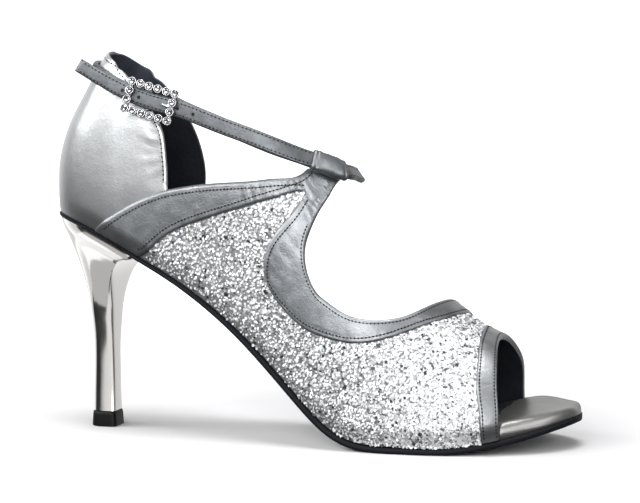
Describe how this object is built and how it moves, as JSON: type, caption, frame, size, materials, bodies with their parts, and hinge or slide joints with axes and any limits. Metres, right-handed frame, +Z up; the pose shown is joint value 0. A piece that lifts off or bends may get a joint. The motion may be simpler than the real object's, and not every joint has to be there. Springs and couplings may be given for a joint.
{
  "type": "ballroom dance shoe",
  "caption": "Open-toe high-heeled dance shoe with an ankle strap, a stone-set buckle, an S-shaped bound throat and a glitter vamp.",
  "frame": {"origin": "centre of the heel tip's ground face", "axes": "+X to the toe, +Y to the inner side of the foot, +Z up"},
  "size_m": [0.2199, 0.0798, 0.1566],
  "materials": {
    "silver_leather": "metallic silver leather and silver glitter, dark lining inside",
    "pewter_leather": "metallic pewter leather with stitched edges",
    "black_sole": "matt black",
    "dark_lining": "navy black leather footbed, metallic over the toe platform",
    "chrome": "mirror bright",
    "plated_heel": "mirror bright plated plastic",
    "black_tip": "black satin",
    "crystal": "cut clear stones in cups"
  },
  "bodies": {
    "root": {"upper": "silver_leather", "quarter_band": "pewter_leather", "throat_binding": "pewter_leather", "toe_binding": "pewter_leather", "outsole": "black_sole", "insole": "dark_lining", "heel": "plated_heel", "heel_tip": "black_tip", "ankle_strap": "pewter_leather", "strap_loop": "pewter_leather", "buckle_frame": "chrome", "buckle_prong": "chrome", "stone_01": "crystal", "stone_02": "crystal", "stone_03": "crystal", "stone_04": "crystal", "stone_05": "crystal", "stone_06": "crystal", "stone_07": "crystal", "stone_08": "crystal", "stone_09": "crystal", "stone_10": "crystal", "stone_11": "crystal", "stone_12": "crystal", "stone_13": "crystal", "stone_14": "crystal", "stone_15": "crystal", "stone_16": "crystal"}
  },
  "joints": []
}
